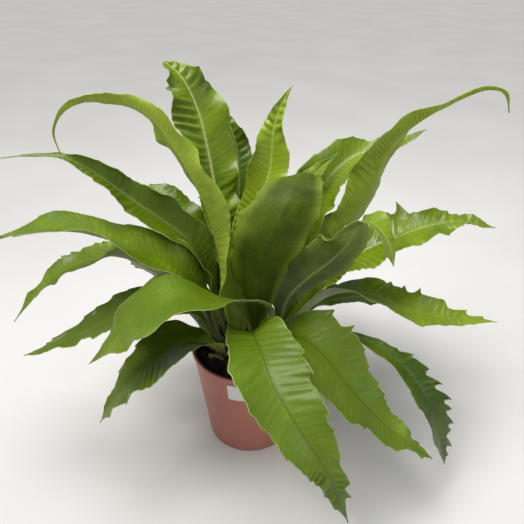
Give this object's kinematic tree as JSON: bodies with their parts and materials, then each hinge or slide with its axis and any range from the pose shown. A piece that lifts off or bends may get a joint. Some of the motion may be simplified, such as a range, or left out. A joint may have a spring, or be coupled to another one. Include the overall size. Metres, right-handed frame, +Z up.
{
  "type": "potted fern",
  "caption": "Bird's nest type fern with long wavy strap fronds arching out of a soil-filled, tapered round nursery pot that stands on its flat underside.",
  "frame": {"origin": "middle of the pot's flat underside", "axes": "+Z up out of the pot, -Y towards the show side that carries the label, +X to the right of someone looking at that side"},
  "size_m": [0.4807, 0.3836, 0.3836],
  "materials": {
    "terracotta_plastic": "smooth, satin, dusty rose-brown",
    "potting_soil": "rough, crumbly peat",
    "crown_fibre": "rough, fibrous",
    "blank_paper": "matt paper",
    "leaf": "waxy satin upper face, duller underside",
    "young_leaf": "waxy satin"
  },
  "bodies": {
    "root": {"nursery_pot": "terracotta_plastic", "potting_soil": "potting_soil", "crown": "crown_fibre", "paper_label": "blank_paper", "frond_front_wide": "leaf", "frond_front_right": "leaf", "frond_right_toothed": "leaf", "frond_right_low": "leaf", "frond_right_spiked": "leaf", "frond_right_hooked": "leaf", "frond_right_back_arch": "leaf", "frond_inner_right": "leaf", "frond_right_folded": "leaf", "frond_centre_folded": "leaf", "frond_centre_bright": "leaf", "frond_tall_left": "leaf", "frond_back_tall": "leaf", "frond_left_arch": "leaf", "frond_left_upper": "leaf", "frond_left_behind": "leaf", "frond_left_long": "leaf", "frond_left_bent": "leaf", "frond_left_low_back": "leaf", "frond_left_bright": "leaf", "frond_left_low": "leaf", "frond_back_left_low": "leaf", "frond_back_left": "leaf", "frond_back_mid_left": "leaf", "frond_back_mid": "leaf", "frond_back_mid_right": "leaf", "frond_back_right": "leaf", "frond_back_right_low": "leaf", "frond_young_left": "young_leaf", "frond_young_right": "young_leaf"}
  },
  "joints": []
}
